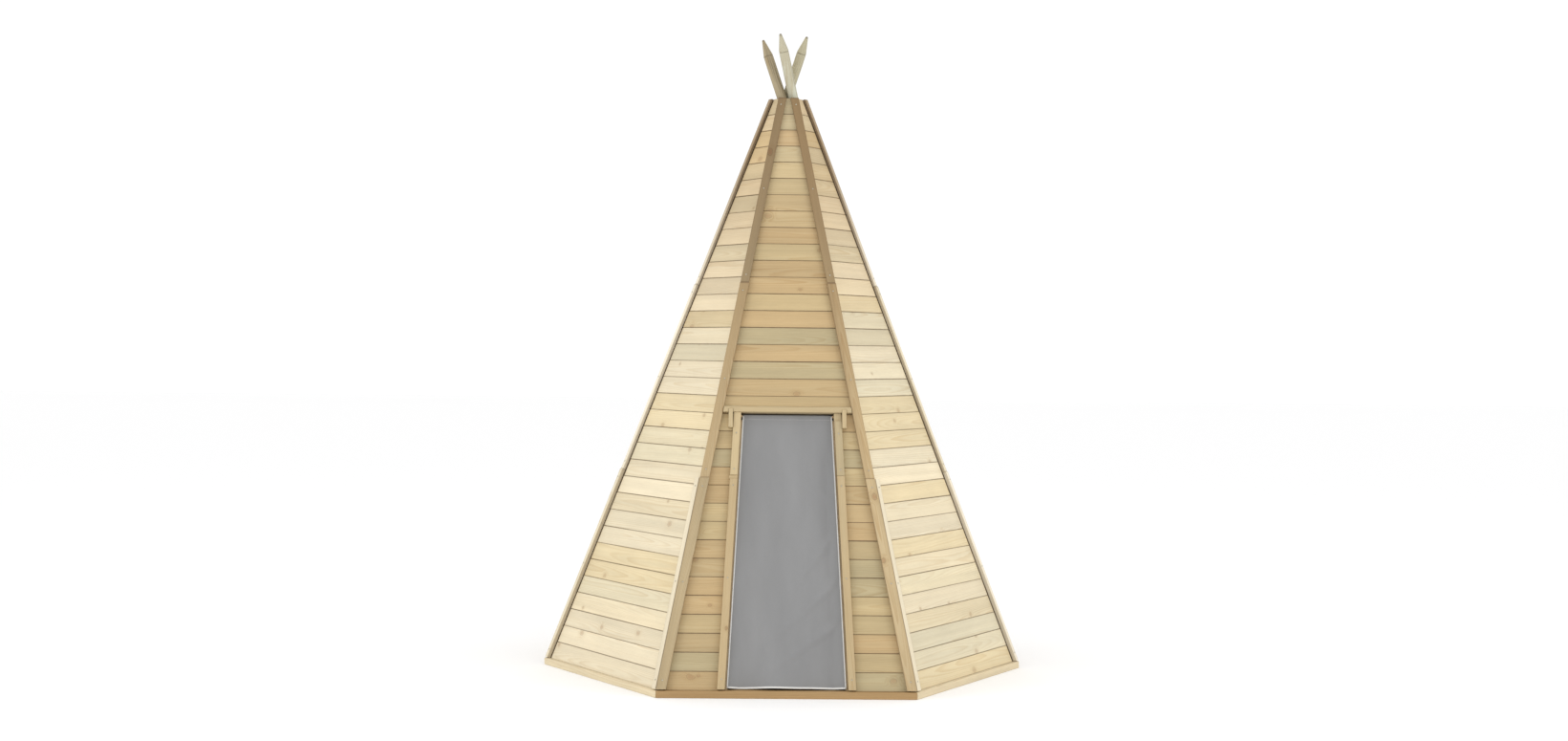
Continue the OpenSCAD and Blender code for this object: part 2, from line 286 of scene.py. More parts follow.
def cloudy(tree, place, stretch, detail, roughness=0.5):
    """Smooth noise, 0 to 1, with its own scale on each of the three directions."""
    node = tree.nodes.new("ShaderNodeTexNoise")
    node.inputs["Scale"].default_value = 1.0
    node.inputs["Detail"].default_value = detail
    node.inputs["Roughness"].default_value = roughness
    tree.links.new(vector_calc(tree, "MULTIPLY", place, stretch), node.inputs["Vector"])
    return node.outputs["Fac"]


def split(tree, vector):
    node = tree.nodes.new("ShaderNodeSeparateXYZ")
    tree.links.new(vector, node.inputs[0])
    return node.outputs[0], node.outputs[1], node.outputs[2]


def grey_of(tree, value):
    """A grey colour that is as bright as the value."""
    node = tree.nodes.new("ShaderNodeCombineColor")
    for socket in node.inputs:
        tree.links.new(value, socket)
    return node.outputs[0]


def add_relief(tree, surface, height, distance, strength):
    node = tree.nodes.new("ShaderNodeBump")
    node.inputs["Strength"].default_value = strength
    node.inputs["Distance"].default_value = distance
    tree.links.new(height, node.inputs["Height"])
    tree.links.new(node.outputs["Normal"], surface.inputs["Normal"])


def read_attribute(tree, name, output):
    node = tree.nodes.new("ShaderNodeAttribute")
    node.attribute_name = name
    return node.outputs[output]


def group_ends(tree, inputs, outputs):
    """Names a group's sockets and returns its input node's and output node's sockets by name."""
    for name, kind, value in inputs:
        socket = tree.interface.new_socket(name=name, in_out="INPUT", socket_type=kind)
        socket.default_value = value
    for name, kind in outputs:
        tree.interface.new_socket(name=name, in_out="OUTPUT", socket_type=kind)
    return tree.nodes.new("NodeGroupInput").outputs, tree.nodes.new("NodeGroupOutput").inputs


def softwood_group():
    """Softwood: growth rings round a pith beside the stick, knots, fibre and a tone of its own."""
    tree = bpy.data.node_groups.new("softwood", "ShaderNodeTree")
    given, made = group_ends(
        tree,
        [("Pale", "NodeSocketColor", (0.8, 0.7, 0.5, 1.0)),
         ("Warm", "NodeSocketColor", (0.7, 0.6, 0.4, 1.0)),
         ("Grey", "NodeSocketColor", (0.6, 0.55, 0.45, 1.0)),
         ("Knot", "NodeSocketColor", (0.25, 0.13, 0.06, 1.0)),
         ("Late Wood", "NodeSocketFloat", 0.5),
         ("Ring Width", "NodeSocketFloat", 0.0045),
         ("Pith Depth", "NodeSocketFloat", 0.05),
         ("Pith Spread", "NodeSocketFloat", 0.12),
         ("Knot Share", "NodeSocketFloat", 0.3),
         ("Knot Strength", "NodeSocketFloat", 0.5)],
        [("Colour", "NodeSocketColor"), ("Roughness", "NodeSocketFloat"),
         ("Height", "NodeSocketFloat")])
    grain = read_attribute(tree, "grain", "Vector")
    mark = read_attribute(tree, "mark", "Vector")
    along, across, through = split(tree, grain)
    mark_a, mark_b, mark_c = split(tree, mark)
    place = vector_calc(tree, "MULTIPLY_ADD", mark, (61.0, 47.0, 53.0), grain)

    # Knots: at most one in each patch of the face. patch is how many patches there are to a metre
    # along and across the grain, and knots are a little longer than they are high
    patch, knot_squash = (2.6, 10.0), 0.72
    smallest_knot, knot_range, knot_wobble, rim_width = 0.0055, 0.009, 0.006, 0.0022
    flat_place = vector_calc(tree, "MULTIPLY", place, (patch[0], patch[1], 0.0))
    cells = tree.nodes.new("ShaderNodeTexVoronoi")
    cells.voronoi_dimensions = "2D"
    cells.inputs["Scale"].default_value = 1.0
    tree.links.new(flat_place, cells.inputs["Vector"])
    off = vector_calc(tree, "SUBTRACT", flat_place, cells.outputs["Position"])
    off = vector_calc(tree, "MULTIPLY", off, (knot_squash / patch[0], 1.0 / patch[1], 0.0))
    wobble = calc(tree, "SUBTRACT", cloudy(tree, place, (60.0, 60.0, 60.0), 1.0), 0.5)
    wobble = calc(tree, "MULTIPLY", wobble, knot_wobble)
    distance = calc(tree, "ADD", vector_calc(tree, "LENGTH", off), wobble)
    chance, size_share, _ = split(tree, cells.outputs["Color"])
    exists = calc(tree, "LESS_THAN", chance, given["Knot Share"])
    size = calc(tree, "MULTIPLY_ADD", size_share, knot_range, smallest_knot)
    heart = step_between(tree, distance, calc(tree, "MULTIPLY", size, 1.15),
                         calc(tree, "MULTIPLY", size, 0.45))
    heart = calc(tree, "MULTIPLY", exists, heart)
    halo = step_between(tree, distance, calc(tree, "MULTIPLY", size, 3.2), size)
    halo = calc(tree, "MULTIPLY", exists, halo)
    rim_place = calc(tree, "ABSOLUTE", calc(tree, "SUBTRACT", distance, size))
    rim = calc(tree, "MULTIPLY", exists, step_between(tree, rim_place, rim_width, 0.0004))
    reach = calc(tree, "DIVIDE", distance, calc(tree, "MULTIPLY", size, 3.0))
    swirl = calc(tree, "MULTIPLY", exists, step_between(tree, reach, 1.0, 0.0, 0.0, 0.014))

    # Rings: distance from the pith, which runs beside the stick and a little out of line with it
    bend = calc(tree, "SUBTRACT", cloudy(tree, place, (1.6, 4.0, 4.0), 1.0), 0.5)
    sway = calc(tree, "SUBTRACT", cloudy(tree, place, (0.9, 9.0, 9.0), 0.0), 0.5)
    side = calc(tree, "MULTIPLY", calc(tree, "SUBTRACT", mark_a, 0.5), given["Pith Spread"])
    side = calc(tree, "ADD", calc(tree, "SUBTRACT", across, side),
                calc(tree, "MULTIPLY", bend, 0.02))
    depth = calc(tree, "MULTIPLY", given["Pith Depth"],
                 calc(tree, "MULTIPLY_ADD", mark_b, 0.9, 0.5))
    slope = calc(tree, "MULTIPLY", calc(tree, "SUBTRACT", mark_c, 0.5), along)
    depth = calc(tree, "MULTIPLY_ADD", slope, 0.05, calc(tree, "ADD", through, depth))
    depth = calc(tree, "MULTIPLY_ADD", sway, 0.05, depth)
    radius = calc(tree, "SQRT", calc(tree, "ADD", calc(tree, "MULTIPLY", side, side),
                                     calc(tree, "MULTIPLY", depth, depth)))
    ring = calc(tree, "DIVIDE", calc(tree, "ADD", radius, swirl), given["Ring Width"])
    ring = calc(tree, "MULTIPLY_ADD", cloudy(tree, place, (5.0, 70.0, 70.0), 1.0), 0.45, ring)
    within = calc(tree, "FRACT", ring)
    late = calc(tree, "MULTIPLY", step_between(tree, within, 0.3, 0.9),
                step_between(tree, within, 1.0, 0.93))
    year = tree.nodes.new("ShaderNodeTexWhiteNoise")
    year.noise_dimensions = "2D"
    years = tree.nodes.new("ShaderNodeCombineXYZ")
    tree.links.new(calc(tree, "FLOOR", ring), years.inputs[0])
    tree.links.new(mark_a, years.inputs[1])
    tree.links.new(years.outputs[0], year.inputs["Vector"])
    late = calc(tree, "MULTIPLY", late, calc(tree, "MULTIPLY_ADD", year.outputs["Value"], 0.7, 0.3))

    # Finer marks: fibre along the grain, slow streaks, blotches and the saw's marks across
    fibre = cloudy(tree, place, (14.0, 420.0, 420.0), 3.0, 0.6)
    streak = cloudy(tree, place, (0.8, 26.0, 26.0), 2.0)
    blotch = cloudy(tree, place, (4.0, 9.0, 9.0), 3.0)
    saw_marks = cloudy(tree, place, (160.0, 2.0, 2.0), 1.0)

    colour = mix_colour(tree, step_between(tree, mark_b, 0.40, 0.72), given["Pale"], given["Warm"])
    colour = mix_colour(tree, step_between(tree, mark_c, 0.60, 0.90), colour, given["Grey"])
    darker = mix_colour(tree, 1.0, colour, (0.74, 0.60, 0.43, 1.0), "MULTIPLY")
    colour = mix_colour(tree, calc(tree, "MULTIPLY", late, given["Late Wood"]), colour, darker)
    tone = calc(tree, "MULTIPLY_ADD", mark_a, 0.12, 0.94)
    tone = calc(tree, "MULTIPLY", tone, calc(tree, "MULTIPLY_ADD", streak, 0.30, 0.85))
    tone = calc(tree, "MULTIPLY", tone, calc(tree, "MULTIPLY_ADD", blotch, 0.16, 0.92))
    tone = calc(tree, "MULTIPLY", tone, calc(tree, "MULTIPLY_ADD", fibre, 0.20, 0.90))
    colour = mix_colour(tree, 1.0, colour, grey_of(tree, tone), "MULTIPLY")
    halo_dark = calc(tree, "MULTIPLY", halo, calc(tree, "MULTIPLY", given["Knot Strength"], 0.45))
    colour = mix_colour(tree, halo_dark, colour, darker)
    heart_dark = calc(tree, "MULTIPLY", heart, given["Knot Strength"])
    colour = mix_colour(tree, heart_dark, colour, given["Knot"])
    rim_dark = calc(tree, "MULTIPLY", rim, calc(tree, "MULTIPLY", given["Knot Strength"], 0.6))
    tree.links.new(mix_colour(tree, rim_dark, colour, KNOT_RIM), made["Colour"])
    rough = calc(tree, "MULTIPLY_ADD", fibre, 0.22, 0.56)
    rough = calc(tree, "SUBTRACT", rough, calc(tree, "MULTIPLY", heart, 0.12))
    tree.links.new(rough, made["Roughness"])
    height = calc(tree, "MULTIPLY_ADD", late, 0.35, calc(tree, "MULTIPLY", fibre, 0.55))
    height = calc(tree, "MULTIPLY_ADD", saw_marks, 0.10, height)
    tree.links.new(calc(tree, "MULTIPLY_ADD", rim, -0.5, height), made["Height"])
    return tree


PLAIN_KNOT, KNOT_RIM = (0.30, 0.155, 0.07, 1.0), (0.06, 0.035, 0.02, 1.0)
# Colour of the dirt and painted shade along board edges, and of the painted shade at board ends
SEAM_DIRT_AND_SHADE = (0.20, 0.13, 0.07, 1.0)
PLAIN = (1.0, 1.0, 1.0, 1.0)
softwood = softwood_group()


def timber_paint(name, pale, warm, grey, late=0.5, ring_width=0.0045, pith_depth=0.05,
                 pith_spread=0.12, knots=0.3, knot_strength=0.5, bump=0.0006, low_tint=PLAIN,
                 high_tint_and_light=PLAIN, tint_and_light_span=(0.6, 2.9), seam_shade=0.0):
    """A timber finish, tinted one way below a span of heights and another way above it. On the
    front, back right and back left boards the lighter upper tint is painted light.
    """
    paint, tree, surface = new_paint(name)
    wood = tree.nodes.new("ShaderNodeGroup")
    wood.node_tree = softwood
    for socket, value in (("Pale", pale), ("Warm", warm), ("Grey", grey), ("Knot", PLAIN_KNOT),
                          ("Late Wood", late), ("Ring Width", ring_width),
                          ("Pith Depth", pith_depth), ("Pith Spread", pith_spread),
                          ("Knot Share", knots), ("Knot Strength", knot_strength)):
        wood.inputs[socket].default_value = value
    colour = wood.outputs["Colour"]
    if seam_shade:
        # Dirt and painted shade along the two long edges, more on some boards than on others, and
        # painted shade at the ends
        from_low, from_high, half_run = split(tree, read_attribute(tree, "brink", "Vector"))
        run, _, _ = split(tree, read_attribute(tree, "grain", "Vector"))
        from_end = calc(tree, "SUBTRACT", half_run, calc(tree, "ABSOLUTE", run))
        end_shade = step_between(tree, from_end, 0.007, 0.003)
        own, _, other = split(tree, read_attribute(tree, "mark", "Vector"))
        spot = tree.nodes.new("ShaderNodeTexCoord").outputs["Object"]
        patchy = cloudy(tree, spot, (45.0, 45.0, 45.0), 2.0)
        ragged = calc(tree, "MULTIPLY_ADD", patchy, 0.0036, 0.0020)
        low_line = calc(tree, "MULTIPLY", step_between(tree, from_low, ragged, 0.0),
                        calc(tree, "MULTIPLY_ADD", own, 0.65, 0.35))
        high_line = calc(tree, "MULTIPLY", step_between(tree, from_high, ragged, 0.0),
                         calc(tree, "MULTIPLY_ADD", other, 0.65, 0.35))
        dirt_and_shade = calc(tree, "MAXIMUM", end_shade, calc(tree, "MAXIMUM", low_line, high_line))
        dirt_and_shade = calc(tree, "MULTIPLY", dirt_and_shade, seam_shade)
        colour = mix_colour(tree, dirt_and_shade, colour, SEAM_DIRT_AND_SHADE)
    # Tint by height: on the front, back right and back left boards the lighter upper tint is
    # painted light.
    if (low_tint, high_tint_and_light) != (PLAIN, PLAIN):
        spot = tree.nodes.new("ShaderNodeTexCoord")
        _, _, up = split(tree, spot.outputs["Object"])
        tint_and_light_share = step_between(tree, up, tint_and_light_span[0], tint_and_light_span[1])
        tint = mix_colour(tree, tint_and_light_share, low_tint, high_tint_and_light)
        colour = mix_colour(tree, 1.0, colour, tint, "MULTIPLY")
    tree.links.new(colour, surface.inputs["Base Color"])
    tree.links.new(wood.outputs["Roughness"], surface.inputs["Roughness"])
    surface.inputs["Specular IOR Level"].default_value = 0.32
    add_relief(tree, surface, wood.outputs["Height"], bump, 0.7)
    return paint


def mark_key(value):
    """A stick's random mark, rounded so that it can be looked up."""
    return tuple(round(part, 4) for part in value)


def shape_sticks(work, islands, axes, seed, seam_wave, sink):
    """Gives each stick a slight wave and its own set in the wall."""
    grain = work.verts.layers.float_vector["grain"]
    chance = random.Random(seed + "set")
    for index, (centre, along, across, out) in enumerate(axes):
        inward, lift, turn = chance.uniform(0, sink), chance.uniform(-1, 1), chance.uniform(-1, 1)
        phase = chance.uniform(0, 50)
        for vertex in islands[index]:
            run = vertex[grain].x
            wave = noise.noise(Vector((run * 3.2 + phase, phase, 0.5)))
            rise = noise.noise(Vector((run * 2.1 + phase, 7.5, phase)))
            bow = wave * seam_wave + lift * seam_wave * 0.5 + turn * run * seam_wave * 0.6
            vertex.co += across * bow
            vertex.co -= out * (inward + (0.5 + 0.5 * rise) * sink * 0.6)


def eased_timber(name, node, paint, ease, level=False, seam_wave=0.0, sink=0.0,
                 spacing=BOW_STEP):
    """A node's sticks, with eased edges, their own grain and the small faults of real wood."""
    work, islands = solid_pieces(node)
    axes = name_solids(work, islands, node, level)
    edges = [edge for edge in work.edges
             if len(edge.link_faces) == 2 and edge.calc_face_angle(0.0) > HARD_CORNER
             and edge.calc_length() > 4.0 * ease]
    bmesh.ops.bevel(work, geom=edges, offset=ease, segments=2, affect="EDGES",
                    profile=0.5, material=-1, clamp_overlap=True)
    if seam_wave:
        mark = work.verts.layers.float_vector["mark"]
        own = {mark_key(value): index
               for index, value in enumerate(island_marks(node, len(axes)))}
        groups = [[] for _ in axes]
        long_edges = {}
        for edge in work.edges:
            index = own[mark_key(edge.verts[0][mark])]
            along = axes[index][1]
            run = edge.verts[1].co - edge.verts[0].co
            if run.length > 1.5 * spacing and abs(run.normalized().dot(along)) > 0.9:
                long_edges.setdefault(index, []).append((edge, run.length))
        for index, found in long_edges.items():
            cuts = max(1, round(max(length for _, length in found) / spacing) - 1)
            bmesh.ops.subdivide_edges(work, edges=[edge for edge, _ in found], cuts=cuts,
                                      use_grid_fill=True)
        for vertex in work.verts:
            key = mark_key(vertex[mark])
            if key in own:
                groups[own[key]].append(vertex)
        shape_sticks(work, groups, axes, node, seam_wave, sink)
    finish_piece(name, work, node, paint)


side_board_paint = timber_paint(
    "side_boards_pale", (0.708, 0.622, 0.45, 1), (0.652, 0.545, 0.342, 1), (0.645, 0.58, 0.415, 1),
    late=0.38, knots=0.30, knot_strength=0.36, seam_shade=0.8,
    high_tint_and_light=(0.80, 0.71, 0.60, 1.0), tint_and_light_span=(1.3, 2.6))
# The front, back right and back left boards are painted darker and browner than the side boards:
# partly a tan tone of their own, partly painted shade for the weaker light on those walls. Above
# about two metres they are painted lighter, as painted light.
front_board_light_and_shade_paint = timber_paint(
    "front_boards_tan", (0.495, 0.388, 0.213, 1), (0.477, 0.347, 0.182, 1),
    (0.437, 0.362, 0.212, 1),
    late=0.42, knots=0.26, knot_strength=0.34, seam_shade=0.9,
    high_tint_and_light=(1.12, 1.13, 1.18, 1.0), tint_and_light_span=(1.9, 2.9))

for wall in WALLS:
    for storey in STOREYS:
        node = f"boards_{wall}_{storey}"
        on_side = wall in SIDE_WALLS
        eased_timber(f"cladding_{wall}_{storey}", node,
                     side_board_paint if on_side else front_board_light_and_shade_paint,
                     BOARD_EASE, level=True, seam_wave=0.0006, sink=0.0008)

# ----------------------------------------------
# Base boards: six planed softwood boards laid flat on the ground under the walls, mitred at the
# corners. They stand proud of the cladding, and the front one is the threshold.
# ----------------------------------------------
LONG_BOW_STEP = 0.3
# The front, back right and back left base boards are painted darker and browner than the side ones,
# as painted shade.
base_shade_paint = timber_paint("base_brown_painted_shade", (0.41, 0.279, 0.131, 1), (0.377, 0.238, 0.107, 1),
                          (0.328, 0.246, 0.139, 1), late=0.7, ring_width=0.006, knots=0.35)
base_side_paint = timber_paint("base_pale", (0.656, 0.558, 0.377, 1), (0.607, 0.476, 0.287, 1),
                               (0.541, 0.459, 0.312, 1), late=0.5, ring_width=0.006, knots=0.3)
for wall in WALLS:
    eased_timber(f"base_{wall}", f"rail_{wall}",
                 base_side_paint if wall in SIDE_WALLS else base_shade_paint, 0.0035, level=True,
                 seam_wave=0.0004, sink=0.0003, spacing=LONG_BOW_STEP)

# ----------------------------------------------
# Corner trims and strips: planed softwood sticks with rounded edges, screwed over the cladding in
# three lengths up each corner, darker towards the top. Trims are tan, and the strips beside them,
# in the side walls, are painted paler, partly as painted light. Painted shade darkens the sticks
# along their edges and at their ends.
# ----------------------------------------------
CORNERS = ["front_right", "right", "back_right", "back_left", "left", "front_left"]
TRIM_EASE = 0.0032
# The trims' dark edges and ends are painted shade where they meet the cladding and the strips.
trim_paint = timber_paint("trim_tan", (0.475, 0.368, 0.212, 1), (0.445, 0.336, 0.186, 1),
                          (0.41, 0.33, 0.2, 1), late=0.6, ring_width=0.0035, pith_depth=0.03,
                          knots=0.25, bump=0.0007, seam_shade=0.5,
                          low_tint=(1.05, 1.05, 1.05, 1.0), high_tint_and_light=(0.60, 0.52, 0.44, 1.0))
# The strips are painted paler than the trims: partly a cream tone of their own, partly painted
# light for faces turned to the side soft boxes.
strip_tone_and_light_paint = timber_paint("strip_cream_and_light", (0.781, 0.714, 0.571, 1), (0.739, 0.655, 0.47, 1),
                           (0.689, 0.613, 0.454, 1), late=0.4, ring_width=0.0035, pith_depth=0.03,
                           knots=0.2, seam_shade=0.4,
                           high_tint_and_light=(0.42, 0.34, 0.26, 1.0), tint_and_light_span=(1.7, 2.7))
for corner in CORNERS:
    for part, paint in (("trim", trim_paint), ("strip", strip_tone_and_light_paint)):
        eased_timber(f"corner_{part}_{corner}", f"{part}_{corner}", paint, TRIM_EASE,
                     seam_wave=0.0003, sink=0.0003, spacing=LONG_BOW_STEP)

# ----------------------------------------------
# Inner frames: rough planed uprights and cross members behind the cladding of each wall, cut
# square, bolted to each other through the corners. They show inside and past the open flap.
# ----------------------------------------------
frame_paint = timber_paint("frame_rough", (0.554, 0.445, 0.277, 1), (0.521, 0.386, 0.227, 1),
                           (0.462, 0.386, 0.26, 1), late=0.65, ring_width=0.005, knots=0.45,
                           bump=0.0012)
for wall in WALLS:
    eased_timber(f"inner_frame_{wall}", f"frame_{wall}", frame_paint, 0.002)

# ----------------------------------------------
# Pole plate: a six-sided softwood board screwed inside the top, with three slanting drilled holes
# that hold the poles.
# ----------------------------------------------
eased_timber("top_plate", "pole_plate", frame_paint, 0.0012, level=True)

# ----------------------------------------------
# Doorway joinery: lintel with a sloping upper edge, cleats that stand through it, jambs in two
# lengths with packing blocks, and the battens behind that stop the flap. All planed softwood.
# ----------------------------------------------
joinery_paint = timber_paint("joinery_tan", (0.50, 0.40, 0.235, 1), (0.47, 0.362, 0.205, 1),
                             (0.44, 0.362, 0.22, 1), late=0.6, ring_width=0.0032,
                             pith_depth=0.025, knots=0.22)
for name, node, ease, level in (("door_lintel", "lintel", 0.003, True),
                                ("door_cleats", "lintel_cleats", 0.002, False),
                                ("jamb_left_foot", "jamb_left_lower", 0.0028, False),
                                ("jamb_left_head", "jamb_left_upper", 0.0028, False),
                                ("jamb_right_foot", "jamb_right_lower", 0.0028, False),
                                ("jamb_right_head", "jamb_right_upper", 0.0028, False),
                                ("jamb_packing", "jamb_blocks", 0.0018, False)):
    eased_timber(name, node, joinery_paint, ease, level=level)
eased_timber("flap_stops", "door_stops", frame_paint, 0.0012)

# ----------------------------------------------
# Poles: three round softwood poles, turned to a blunt point with a line cut at the shoulder,
# treated brown, green and tan, split here and there in drying, with dark end grain at the tips.
# They stand in the pole plate.
# ----------------------------------------------
# Weathered patches, and the colour of the end grain at the tips and of the painted shade in the
# splits and the shoulder line
WEATHERED_POLE, END_GRAIN_AND_SHADE = (0.36, 0.30, 0.19, 1.0), (0.085, 0.062, 0.04, 1.0)


def round_pole_paint(name, pale, warm, grey):
    """Pole timber with dark end grain at the tips, and painted shade in its splits and shoulder
    line, where the vertex attribute says so.
    """
    paint = timber_paint(name, pale, warm, grey, late=0.75, ring_width=0.0028, pith_depth=0.004,
                         pith_spread=0.008, knots=0.25, bump=0.0009)
    tree = paint.node_tree
    surface = tree.nodes["Principled BSDF"]
    plain = surface.inputs["Base Color"].links[0].from_socket
    spot = tree.nodes.new("ShaderNodeTexCoord").outputs["Object"]
    weather = step_between(tree, cloudy(tree, spot, (7.0, 7.0, 5.0), 3.0), 0.42, 0.62, 0.0, 0.45)
    plain = mix_colour(tree, weather, plain, WEATHERED_POLE)
    with_end_grain_and_shade = mix_colour(tree, read_attribute(tree, "end_grain_and_shade", "Fac"), plain, END_GRAIN_AND_SHADE)
    tree.links.new(with_end_grain_and_shade, surface.inputs["Base Color"])
    return paint


pole_paints = {
    "left": round_pole_paint("pole_brown", (0.36, 0.31, 0.20, 1), (0.34, 0.27, 0.165, 1),
                             (0.30, 0.28, 0.19, 1)),
    "middle": round_pole_paint("pole_green", (0.63, 0.60, 0.465, 1), (0.61, 0.555, 0.40, 1),
                               (0.545, 0.54, 0.425, 1)),
    "right": round_pole_paint("pole_tan", (0.50, 0.44, 0.30, 1), (0.48, 0.40, 0.26, 1),
                              (0.43, 0.40, 0.28, 1)),
}

POINT_LENGTH, TIP_DOME, FOOT_EASE = 0.088, 0.004, 0.002
# The line at the shoulder: how deep it is, and how far below the shoulder each of its edges is
LINE_DEEP, LINE_LOW, LINE_HIGH = 0.0012, 0.0055, 0.0035
# How much of the radius the point loses, how wide a split is, and how many a pole has
POINT_TAPER, SPLIT_WIDTH, SPLITS = 0.72, 0.0026, 7
ROUND_STEPS, LENGTH_STEPS, POINT_STEPS = 56, 40, 16


def pole_ends(node):
    """Foot, tip and radius of a pole, from its round faces."""
    work, islands = solid_pieces(node)
    centre, along, _, _ = timber_axes(islands[0], False)
    if along.z < 0:
        along = -along
    reach = [(vertex.co - centre).dot(along) for vertex in work.verts]
    foot_ring = [vertex.co for vertex, run in zip(work.verts, reach) if run < min(reach) + 0.001]
    tip_ring = [vertex.co for vertex, run in zip(work.verts, reach) if run > max(reach) - 0.001]
    foot = sum(foot_ring, Vector()) / len(foot_ring)
    tip = sum(tip_ring, Vector()) / len(tip_ring)
    radius = max((co - foot).length for co in foot_ring)
    work.free()
    return foot.copy(), tip.copy(), radius


def turned_pole(name, node, seed, paint):
    foot, tip, radius = pole_ends(node)
    length = (tip - foot).length
    shoulder = length - POINT_LENGTH
    work = bmesh.new()
    grain = work.verts.layers.float_vector.new("grain")
    mark = work.verts.layers.float_vector.new("mark")
    end_grain_and_shade = work.verts.layers.float.new("end_grain_and_shade")
    rows = [(0.0, 0.0), (radius - FOOT_EASE, 0.0), (radius, FOOT_EASE)]
    rows += [(radius, FOOT_EASE + (shoulder - 0.010) * step / LENGTH_STEPS)
             for step in range(1, LENGTH_STEPS + 1)]
    rows += [(radius - LINE_DEEP, shoulder - LINE_LOW), (radius - LINE_DEEP, shoulder - LINE_HIGH),
             (radius, shoulder - 0.002)]
    for step in range(POINT_STEPS + 1):
        share = step / POINT_STEPS
        rows.append((radius * (1.0 - share * POINT_TAPER),
                     shoulder + (POINT_LENGTH - TIP_DOME) * share))
    rows += [(radius * 0.19, length - 0.0012), (0.0, length)]
    chain = [work.verts.new((across, 0.0, up)) for across, up in rows]
    edges = [work.edges.new(pair) for pair in zip(chain, chain[1:])]
    bmesh.ops.spin(work, geom=chain + edges, cent=(0, 0, 0), axis=(0, 0, 1), angle=math.tau,
                   steps=ROUND_STEPS, use_merge=True)
    bmesh.ops.remove_doubles(work, verts=work.verts, dist=SAME_POINT)
    bmesh.ops.recalc_face_normals(work, faces=work.faces)
    chance = random.Random(seed)
    own = Vector((chance.random(), chance.random(), chance.random()))
    splits = [(chance.uniform(0, math.tau), chance.uniform(0.25, 0.95) * length,
               chance.uniform(0.10, 0.22)) for _ in range(SPLITS)]
    for vertex in work.verts:
        around = math.atan2(vertex.co.y, vertex.co.x)
        up = vertex.co.z
        out = Vector((vertex.co.x, vertex.co.y, 0.0))
        vertex[grain] = Vector((up, vertex.co.x, vertex.co.y))
        vertex[mark] = own
        # Dark end grain near the tip, painted shade in the shoulder line and, below, painted shade
        # in the splits.
        dark = 0.75 * max(0.0, (up - length + 0.016) / 0.016)
        dark = max(dark, 0.5 * (1.0 if -0.0060 < up - shoulder < -0.0030 else 0.0))
        bumps = Vector((math.cos(around) * 1.1, math.sin(around) * 1.1, up * 9.0 + seed))
        sunk = 0.0006 * (1.0 + noise.noise(bumps))
        for angle, middle_up, half_length in splits:
            wander = angle + 0.10 * noise.noise(Vector((up * 14.0, angle, seed)))
            apart = abs((around - wander + math.pi) % math.tau - math.pi) * radius
            share = max(0.0, 1.0 - abs(up - middle_up) / half_length)
            if apart < SPLIT_WIDTH and share > 0.0:
                deep = share ** 0.5 * (1.0 - apart / SPLIT_WIDTH)
                sunk += 0.0018 * deep
                dark = max(dark, 0.8 * deep)
        if out.length > 0.003:
            vertex.co -= out.normalized() * min(sunk, out.length * 0.3)
        vertex[end_grain_and_shade] = min(1.0, dark)
    turn = (tip - foot).to_track_quat("Z", "Y").to_matrix().to_4x4()
    bmesh.ops.transform(work, matrix=Matrix.Translation(foot) @ turn, verts=work.verts)
    finish_piece(name, work, node, paint)


for seed, side_name in ((3, "left"), (11, "middle"), (27, "right")):
    turned_pole(f"top_pole_{side_name}", f"pole_{side_name}", seed, pole_paints[side_name])

# ----------------------------------------------
# Flap rod: a softwood dowel let into the door frame on both sides, under the lintel. The flap
# hangs on it.
# ----------------------------------------------
rod_work, rod_islands = solid_pieces("flap_rod")
name_solids(rod_work, rod_islands, "flap_rod", True)
rod_paint = timber_paint("dowel_pale", (0.66, 0.53, 0.33, 1), (0.62, 0.46, 0.27, 1),
                         (0.55, 0.46, 0.31, 1), late=0.4, ring_width=0.002, pith_depth=0.02,
                         knots=0.0)
rod_low, rod_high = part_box("flap_rod")
rod_centre = (Vector(rod_low) + Vector(rod_high)) / 2
finish_piece("flap_dowel", rod_work, "flap_rod", rod_paint)

# ----------------------------------------------
# Door flap: a tapered sheet of light grey woven cloth. Its top is turned back over the rod and
# sewn as a sleeve, and a pale tape is sewn round its other three edges. It hangs in soft folds.
# ----------------------------------------------
CLOTH_THICK, TAPE_THICK, HEM_THICK = 0.0012, 0.0024, 0.0025
TAPE_WIDE, HEM_TURN, CLOTH_MIDDLE = 0.006, 0.0205, 0.0015
ROWS_UP, ROWS_OVER, ROWS_BACK, FLAP_COLUMNS = 150, 12, 8, 56
# Slanting creases: height at the right edge, slope, depth and width
CREASES = ((0.42, 0.9, 0.0085, 0.024), (0.24, 0.7, 0.0080, 0.020),
           (0.95, -0.5, 0.0050, 0.030), (0.62, 1.3, 0.0060, 0.026))
flap_work, _ = solid_pieces("door_flap")
hang_face = max((face for face in flap_work.faces if face.normal.y < 0),
                key=lambda face: face.calc_area())
flap_corners = sorted((vertex.co.copy() for vertex in hang_face.verts), key=lambda co: co.z)
bottom = sorted(flap_corners[:2], key=lambda co: co.x)
top = sorted(flap_corners[-2:], key=lambda co: co.x)
flap_out = hang_face.normal.copy()
flap_work.free()
flap_across = (bottom[1] - bottom[0]).normalized()
flap_up = flap_out.cross(flap_across).normalized()
if flap_up.z < 0:
    flap_up = -flap_up
foot_middle = (bottom[0] + bottom[1]) / 2
rod_up = (rod_centre - foot_middle).dot(flap_up)
rod_back = -(rod_centre - foot_middle).dot(flap_out)
foot_half = (bottom[1] - bottom[0]).length / 2
head_half = (top[1] - top[0]).length / 2
